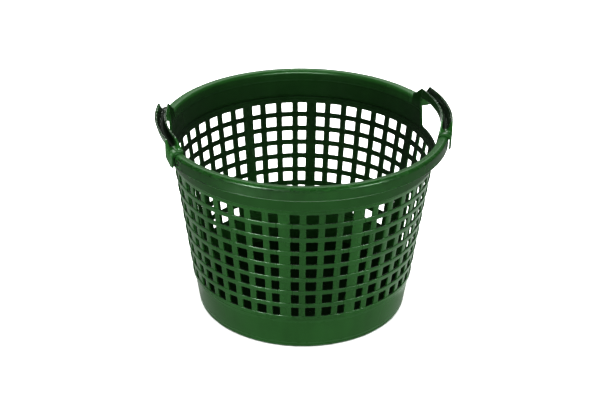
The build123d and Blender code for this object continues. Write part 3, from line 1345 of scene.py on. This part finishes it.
@dataclass
class Grip:
    """The trough over a hand hole."""

    form: BasketForm
    finish: Material
    bottom_points: int = 11
    step: float = math.radians(1.1)

    def build(self) -> list[Object]:
        """Model the right-hand grip and turn a copy of it to the left.

        Returns:
            The dressed right-hand and left-hand grip.
        """
        half = self.form.grip_half_angle
        right = spun("moulded_grip_right", self.section(), -half, 2 * half, self.step)
        left = turned_copy(right, "moulded_grip_left", Matrix.Rotation(math.pi, 4, "Z"))
        return [fit(right, "grip_right", self.finish), fit(left, "grip_left", self.finish)]

    def section(self) -> list[Corner]:
        """Draw the trough's section: two walls with rounded lips on a half-round bottom.

        Returns:
            The corners in order.
        """
        form = self.form
        top, spring, wall = form.grip_top, form.trough_spring, form.grip_wall
        inside = form.trough_bottom(wall, self.bottom_points)
        outside = form.trough_bottom(0.0, self.bottom_points)
        return [
            Corner(form.trough_near, spring),
            Corner(form.upper_band_inner(top), top, form.lip_rounding),
            Corner(form.upper_band_inner(top) + wall, top, form.lip_rounding),
            Corner(form.trough_near + wall, spring),
            *(Corner(*point) for point in inside),
            Corner(form.trough_far - wall, spring),
            Corner(form.plate_inner, top, form.lip_rounding),
            Corner(form.plate_outer, top, form.lip_rounding),
            Corner(form.trough_far, spring),
            *(Corner(*point) for point in reversed(outside)),
        ]


class Side(Enum):
    """The four ends of the grips, each with its mirroring from the modelled one."""

    RIGHT_BACK = (1, 1)
    RIGHT_FRONT = (1, -1)
    LEFT_BACK = (-1, 1)
    LEFT_FRONT = (-1, -1)

    @property
    def node(self) -> str:
        """Name of the node at this end."""
        return "grip_end_" + self.name.lower()

    @property
    def turn(self) -> Matrix:
        """Matrix from the right-hand back end to this one."""
        return Matrix.Diagonal((*self.value, 1, 1))


@dataclass
class GripEnd:
    """Where a grip meets the rim: two falling lips, a dished saddle and a plate outside the skirt."""

    form: BasketForm
    finish: Material
    wall: Object
    saddle_thickness: float = 4.5 * MM
    saddle_rounding: float = 6.5 * MM
    slant_run: float = 16.0 * MM
    slant_rise: float = 7.5 * MM
    plate_corner: float = 1.2 * MM
    gap_rise: float = 0.4 * MM
    cheek_drop: float = 14.5 * MM
    cheek_angle: float = math.radians(0.8)
    horn_angle: float = math.radians(17.3)
    hollow_end: Range = (math.radians(17.6), math.radians(19.2))
    inner_lip_end: float = math.radians(21.3)
    outer_lip_end: float = math.radians(21.0)
    end_rounding: float = 1.3 * MM
    dish_power: float = 2.4
    hollow_points: int = 9
    station_count: int = 34

    def build(self) -> list[Object]:
        """Model one end, join the wall under it and set mirrored copies at the other three.

        Returns:
            The four dressed ends.
        """
        model = self.loft()
        pieces = []
        for side in Side:
            piece = turned_copy(model, "moulded_" + side.node, side.turn)
            shoulder = self.wall_at(side)
            make_only(piece)
            shoulder.select_set(True)
            bpy.ops.object.join()
            pieces.append(fit(piece, side.node, self.finish))
        bpy.data.objects.remove(model)
        bpy.data.objects.remove(self.wall)
        return pieces

    def wall_at(self, side: Side) -> Object:
        """Cut out the part of the wall between the hand hole and one end.

        Args:
            side: Which end it is.

        Returns:
            That part of the wall.
        """
        piece = turned_copy(self.wall, "wall_" + side.node, Matrix.Identity(4))
        across, along = side.value
        half = self.form.grip_half_angle
        limit = Vector((math.sin(half) * across, -math.cos(half) * along, 0.0))
        for normal in (Vector((0.0, along, 0.0)), Vector((across, 0.0, 0.0)), limit):
            slice_off(piece, Vector(), normal)
        return piece

    def loft(self) -> Object:
        """Skin the sections from the grip to the rim, and close both ends.

        Returns:
            The right-hand back end.
        """
        first, last = self.form.grip_half_angle, self.station_count - 1
        run = self.form.grip_end_angle - first
        places = []
        for index in range(self.station_count):
            angle = first + run * index / last
            section = self.section(angle)
            places += [at(radius, angle, height) for radius, height in (*section, section[0])]
        piece = grid("grip_end", len(places) // self.station_count, self.station_count, places)
        seal(piece, capped=True)
        return piece

    def section(self, angle: float) -> list[Point]:
        """Draw the section of the end at an angle along the rim, as radii and heights.

        Args:
            angle: Angle from the middle of the grip.

        Returns:
            The points in order, from the foot of the inner wall up and round.
        """
        form = self.form
        seat, under, slant = form.rim_seat, self.underside(angle), self.slant_lift(angle)
        skirt_low = form.skirt_bottom + slant
        plate_low = form.plate_bottom + max(slant, self.rolled(angle, self.plate_corner))
        skirt_least, plate_least = (low + 2 * form.lip_rounding for low in (skirt_low, plate_low))
        gap_top = min(under + self.gap_rise, form.saddle_top - self.saddle_thickness - form.plate_thickness)
        sink = self.rolled(angle, self.end_rounding)
        top = [*self.inner_lip(angle), *self.hollow(angle), *self.outer_lip(angle)]
        return [
            (form.upper_band_inner(seat), seat),
            *((radius, height - sink) for radius, height in top),
            *self.hem(form.plate_outer, form.plate_inner, plate_low),
            (form.plate_inner, max(gap_top, plate_least)),
            (form.rim_outer, max(gap_top, skirt_least)),
            *self.hem(form.rim_outer, form.skirt_inner, skirt_low),
            (form.skirt_inner, max(under, skirt_least)),
            (form.upper_band_outer(under), max(under, skirt_least)),
            (form.upper_band_outer(seat), seat),
        ]

    def hem(self, outer: float, inner: float, low: float) -> list[Point]:
        """Lower edge of a hanging wall with both its corners taken off, from the outer face inwards."""
        small = self.form.lip_rounding
        return [(outer, low + small), (outer - small, low), (inner + small, low), (inner, low + small)]

    def lip(self, near: float, top: float, wall: float) -> list[Point]:
        """Draw the rounded top of a wall.

        Args:
            near: The radius of the wall's inner face.
            top: The height of its top.
            wall: Its thickness.

        Returns:
            The points from the inner face to the outer one.
        """
        small = self.form.lip_rounding
        soft = CORNER_INSET * small
        inner = [(0, small), (soft, soft), (small, 0)]
        outer = [(wall - small, 0), (wall - soft, soft), (wall, small)]
        return [(near + aside, top - drop) for aside, drop in inner + outer]

    def lip_top(self, angle: float, end: float, low: float) -> float:
        """Height at an angle of a lip that falls from the horn to a lower level at its end."""
        fall = (angle - self.horn_angle) / (end - self.horn_angle)
        return self.form.grip_top + held(fall) * (low - self.form.grip_top)

    def inner_lip(self, angle: float) -> list[Point]:
        """Rounded top of the inner wall at an angle."""
        top = self.lip_top(angle, self.inner_lip_end, self.form.saddle_top)
        return self.lip(self.form.upper_band_inner(top), top, self.form.grip_wall)

    def outer_lip(self, angle: float) -> list[Point]:
        """Draw the rounded top of the outer wall, down to the shoulder of the saddle.

        Args:
            angle: Angle from the middle of the grip.

        Returns:
            The points from the inner face to the outer one.
        """
        form = self.form
        top = self.lip_top(angle, self.outer_lip_end, form.saddle_top - self.saddle_rounding)
        points = self.lip(form.plate_inner, top, form.plate_thickness)
        return [(radius, max(height, self.shoulder(radius))) for radius, height in points]

    def shoulder(self, radius: float) -> float:
        """Work out the height of the saddle's rounded outer shoulder.

        Args:
            radius: Where it is wanted.

        Returns:
            The height.
        """
        reach = max(0.0, radius - self.form.plate_outer + self.saddle_rounding)
        drop = self.saddle_rounding - math.sqrt(max(0.0, self.saddle_rounding ** 2 - reach ** 2))
        return self.form.saddle_top - drop

    def hollow(self, angle: float) -> list[Point]:
        """Draw the trough of the grip, which fades into the dish of the saddle.

        Args:
            angle: Angle from the middle of the grip.

        Returns:
            The points from the inner lip to the outer one.
        """
        form = self.form
        wall, spring = form.grip_wall, form.trough_spring
        near, far = self.inner_lip(angle)[-1], self.outer_lip(angle)[0]
        bottom = form.trough_bottom(wall, self.hollow_points)
        trough = [(form.trough_near + wall, spring), *bottom, (form.trough_far - wall, spring)]
        first, last = self.hollow_end
        share = held((angle - first) / (last - first))
        # Ease the fade at both its ends
        share = share * share * (3 - 2 * share)
        points = []
        for index, (radius, height) in enumerate(trough):
            across = (index + 1) / (len(trough) + 1)
            side = near[1] if across < 0.5 else far[1]
            dish = form.saddle_top + (side - form.saddle_top) * abs(2 * across - 1) ** self.dish_power
            dish_radius = near[0] + across * (far[0] - near[0])
            points.append((radius + share * (dish_radius - radius), height + share * (dish - height)))
        return points

    def underside(self, angle: float) -> float:
        """Height of the end's underside: a cheek beside the hand hole, then the saddle's."""
        in_cheek = angle < self.form.grip_half_angle + self.cheek_angle
        return self.form.saddle_top - (self.cheek_drop if in_cheek else self.saddle_thickness)

    def slant_lift(self, angle: float) -> float:
        """How far the lower edges of skirt and plate rise towards the hand hole."""
        along = (angle - self.form.grip_half_angle) * self.form.plate_outer
        return self.slant_rise * max(0.0, 1 - along / self.slant_run)

    def rolled(self, angle: float, rounding: float) -> float:
        """Work out how far an edge is rounded away near its far end on the rim.

        Args:
            angle: Angle from the middle of the grip.
            rounding: The radius of the rounding.

        Returns:
            The distance from the plain edge.
        """
        to_end = (self.form.grip_end_angle - angle) * self.form.plate_outer
        rest = max(0.0, rounding - to_end)
        return rounding - math.sqrt(rounding ** 2 - rest ** 2)


# Studio

class Glow(Enum):
    """What a lamp gives: light on the body of a piece, highlights in its gloss, or both."""

    BODY = "body"
    GLOSS = "gloss"
    BOTH = "both"


class Lit(Enum):
    """What a lamp lights: all there is, or only one group of pieces."""

    ALL = "all"
    RIM = "rim"
    RIM_FRONT = "front of the rim"
    RIM_BACK = "back of the rim"
    HOOPS = "front of the lattice"
    GRIPS = "grips"
    LIPS = "grips and their front ends"
    ENDS = "front ends of the grips"
    REAR = "back of the wall"
    LEFT = "left-hand side of the wall"
    RIGHT = "right-hand side of the wall"
    FLOOR = "floor"


# Places on the basket's axis that the lamps point at
MID_WALL = (0.0, 0.0, 0.15)
HIGH_WALL = (0.0, 0.0, 0.2)
AT_BAND = (0.0, 0.0, 0.25)
AT_RIM = (0.0, 0.0, 0.27)


@dataclass(frozen=True)
class Softbox:
    """A soft lamp: its place, what it points at, its size and power, and what it gives to what."""

    name: str
    place: Place
    target: Place
    size: tuple[float, float]
    power: float
    glow: Glow = Glow.BOTH
    lit: Lit = Lit.ALL

    def build(self, groups: dict[Lit, list[Object]]) -> None:
        """Set the lamp up, unseen by the camera.

        Args:
            groups: The objects that a lamp may be kept to.
        """
        data = bpy.data.lights.new(self.name, "AREA")
        data.shape = "RECTANGLE"
        data.size, data.size_y = self.size
        data.energy = self.power
        lamp = bpy.data.objects.new(self.name, data)
        bpy.context.scene.collection.objects.link(lamp)
        lamp.location = self.place
        lamp.rotation_euler = (Vector(self.target) - Vector(self.place)).to_track_quat("-Z", "Y").to_euler()
        lamp.visible_camera = False
        lamp.visible_diffuse = self.glow is not Glow.GLOSS
        lamp.visible_glossy = self.glow is not Glow.BODY
        if self.lit is not Lit.ALL:
            targets = bpy.data.collections.new(self.name + "_targets")
            for target in groups[self.lit]:
                targets.objects.link(target)
            lamp.light_linking.receiver_collection = targets


@dataclass
class Studio:
    """Pale floor, soft lamps, and a camera that looks from the photograph's side."""

    camera_place: Place = (-0.3106, -1.7194, 1.0710)
    camera_turn: float = math.radians(-10.114)
    camera_tilt: float = 0.4853
    camera_roll: float = 0.011
    lens: float = 83.313
    sensor: float = 36.0
    floor_size: float = 12.0
    floor_colour: Colour = (0.93, 0.93, 0.93, 1.0)
    floor_roughness: float = 0.9
    floor_shine: float = 0.1
    room: float = 0.05
    glow: float = 0.28
    glow_from: Place = (0.1, 0.9, 0.42)
    glow_spread: float = 8.0
    exposure: float = 0.4
    gamma: float = 0.8
    lamps: tuple[Softbox, ...] = (
        Softbox("front_left_softbox", (-1.3, -1.9, 0.34), HIGH_WALL, (1.4, 0.66), 31.0, Glow.BODY),
        Softbox("front_right_softbox", (1.1, -2.0, 0.34), HIGH_WALL, (1.4, 0.66), 27.0, Glow.BODY),
        Softbox("ground_reflector", (0.0, -0.3, 0.001), (0.0, -0.3, 1.0), (2.8, 2.4), 7.0, Glow.GLOSS),
        Softbox("horizon_softbox", (0.0, 2.4, 0.32), AT_BAND, (6.0, 0.6), 6.0),
        Softbox("sky_softbox", (0.1, 2.1, 2.1), AT_RIM, (3.2, 1.2), 18.0, Glow.GLOSS, Lit.RIM),
        Softbox("rim_softbox", (-0.1, 0.5, 2.6), AT_BAND, (1.0, 0.6), 72.0, Glow.BODY, Lit.RIM),
        Softbox("rear_softbox", (0.3, 2.3, 0.5), MID_WALL, (1.6, 0.7), 45.0, Glow.BODY, Lit.REAR),
        Softbox("rim_left_gleam", (-1.3, -1.26, 0.8), AT_BAND, (0.5, 0.35), 26.0, Glow.GLOSS, Lit.RIM_FRONT),
        Softbox("rim_right_gleam", (1.2, -1.43, 0.8), AT_BAND, (0.6, 0.35), 16.0, Glow.GLOSS, Lit.RIM_FRONT),
        Softbox(
            "rim_back_gleam", (-0.1, -1.35, 1.75), (0.0, 0.2, 0.27), (1.7, 0.25), 33.0,
            Glow.GLOSS, Lit.RIM_BACK,
        ),
        Softbox(
            "skirt_gleam", (-0.1, -0.3, 0.002), (-0.1, -0.3, 1.0), (0.7, 0.08), 2.2,
            Glow.GLOSS, Lit.RIM_FRONT,
        ),
        Softbox("hoop_left_gleam", (-1.3, -1.26, 0.9), HIGH_WALL, (0.5, 0.35), 90.0, Glow.GLOSS, Lit.HOOPS),
        Softbox("hoop_right_gleam", (1.2, -1.43, 0.9), HIGH_WALL, (0.6, 0.35), 40.0, Glow.GLOSS, Lit.HOOPS),
        Softbox("grip_softbox", (1.7, -0.6, 0.8), AT_RIM, (0.5, 0.5), 40.0, Glow.BODY, Lit.GRIPS),
        Softbox("lip_gleam", (0.0, 2.2, 0.36), AT_RIM, (3.2, 0.25), 26.0, Glow.GLOSS, Lit.LIPS),
        Softbox("saddle_softbox", (-0.4, -0.2, 2.2), AT_RIM, (0.8, 0.8), 38.0, Glow.BOTH, Lit.ENDS),
        Softbox("saddle_gleam", (-0.3, 2.0, 1.45), AT_RIM, (2.6, 1.7), 34.0, Glow.GLOSS, Lit.ENDS),
        Softbox("corner_gleam", (-1.6, 1.1, 0.5), (-0.2, 0.0, 0.27), (1.2, 0.8), 4.0, Glow.GLOSS, Lit.ENDS),
        Softbox("left_softbox", (-2.2, -0.5, 0.4), MID_WALL, (0.8, 0.6), 22.0, Glow.BODY, Lit.LEFT),
        Softbox("right_softbox", (2.2, -0.4, 0.4), MID_WALL, (0.8, 0.6), 28.0, Glow.BODY, Lit.RIGHT),
        Softbox(
            "left_reflector", (-0.66, 0.65, 0.005), (-0.66, 0.65, 1.0), (1.0, 1.3), 0.6,
            Glow.GLOSS, Lit.LEFT,
        ),
        Softbox(
            "right_reflector", (0.66, 0.45, 0.005), (0.66, 0.45, 1.0), (1.0, 1.3), 2.0,
            Glow.GLOSS, Lit.RIGHT,
        ),
        Softbox("floor_wash", (0.0, -0.2, 4.5), (0.0, 0.0, 0.0), (5.0, 5.0), 650.0, lit=Lit.FLOOR),
    )

    def build(self, groups: dict[Lit, list[Object]]) -> None:
        """Set up floor, light and camera.

        Args:
            groups: The pieces that have lamps of their own.
        """
        floor = self.floor()
        self.world()
        for lamp in self.lamps:
            lamp.build({**groups, Lit.FLOOR: [floor]})
        self.camera()
        settings = bpy.context.scene.view_settings
        settings.view_transform = "Standard"
        settings.exposure = self.exposure
        settings.gamma = self.gamma

    def floor(self) -> Object:
        """Lay the pale floor.

        Returns:
            The floor.
        """
        bpy.ops.object.select_all(action="DESELECT")
        bpy.ops.mesh.primitive_plane_add(size=self.floor_size)
        floor = bpy.context.object
        floor.name = "studio_floor"
        material = bpy.data.materials.new("pale_floor")
        material.use_nodes = True
        Nodes(material.node_tree).feed(material.node_tree.nodes["Principled BSDF"], {
            "Base Color": self.floor_colour,
            "Roughness": self.floor_roughness,
            "Specular IOR Level": self.floor_shine,
        })
        floor.data.materials.append(material)
        floor.visible_diffuse = False
        floor.visible_glossy = False
        return floor

    def world(self) -> None:
        """Fill the room with a dim light that grows towards the back."""
        world = bpy.data.worlds.new("studio_room")
        world.use_nodes = True
        nodes = Nodes(world.node_tree)
        direction = nodes.add("ShaderNodeTexCoord").outputs["Generated"]
        brightest = Vector(self.glow_from).normalized()
        facing = nodes.add("ShaderNodeVectorMath", {0: direction, 1: brightest}, operation="DOT_PRODUCT")
        towards = nodes.spread(facing.outputs["Value"], (-1.0, 1.0))
        lobe = nodes.maths(Maths.POWER, towards, self.glow_spread)
        strength = nodes.maths(Maths.PLUS, nodes.maths(Maths.TIMES, lobe, self.glow), self.room)
        nodes.feed(world.node_tree.nodes["Background"], {"Color": WHITE, "Strength": strength})
        bpy.context.scene.world = world

    def camera(self) -> None:
        """Place the camera."""
        data = bpy.data.cameras.new("camera")
        data.sensor_fit = "HORIZONTAL"
        data.sensor_width = self.sensor
        data.lens = self.lens
        camera = bpy.data.objects.new("camera", data)
        bpy.context.scene.collection.objects.link(camera)
        turn = Matrix.Rotation(self.camera_turn, 4, "Z")
        tilt = Matrix.Rotation(math.pi / 2 - self.camera_tilt, 4, "X")
        roll = Matrix.Rotation(self.camera_roll, 4, "Z")
        camera.matrix_world = Matrix.Translation(self.camera_place) @ turn @ tilt @ roll
        bpy.context.scene.camera = camera


def named(word: str, pieces: Sequence[Object]) -> list[Object]:
    """Pieces with a word in their names."""
    return [piece for piece in pieces if word in piece.name]


def main() -> None:
    """Build the basket and its studio."""
    logging.basicConfig(level=logging.INFO, format="%(name)s: %(message)s")
    form = BasketForm.from_frame()
    effects = Effects()
    wall = PlasticFinish("moulded_green").material(effects)
    grip = PlasticFinish("handled_green", polished=0.24, dull=0.38, patch_wear=0.06).material(effects)
    foot = PlasticFinish("scuffed_green", edge_wear=0.6, patch_wear=0.3, dull=0.6).material(effects)
    floor = PlasticFinish("floor_green", shine=0.1, polished=0.7, dull=0.85, edge_wear=0.1).material(effects)
    ring, _, band = FootAndFloor(form, wall, floor, foot).build()
    lattice = LatticeWall(form, wall).build()
    bands, walls = UpperBand(form, wall).build()
    rim = Rim(form, wall).build()
    grips = Grip(form, grip).build()
    ends = GripEnd(form, grip, walls).build()
    sides = lattice + bands + grips + ends
    Studio().build({
        Lit.RIM: rim,
        Lit.RIM_FRONT: named("front", rim),
        Lit.RIM_BACK: named("back", rim),
        Lit.HOOPS: named("front", lattice),
        Lit.GRIPS: grips,
        Lit.LIPS: grips + named("front", ends),
        Lit.ENDS: named("front", ends),
        Lit.REAR: [ring, band] + grips + named("back", lattice + bands + rim + ends),
        Lit.LEFT: [ring, band] + named("left", sides),
        Lit.RIGHT: [ring, band] + named("right", sides),
    })


if __name__ == "__main__":
    main()
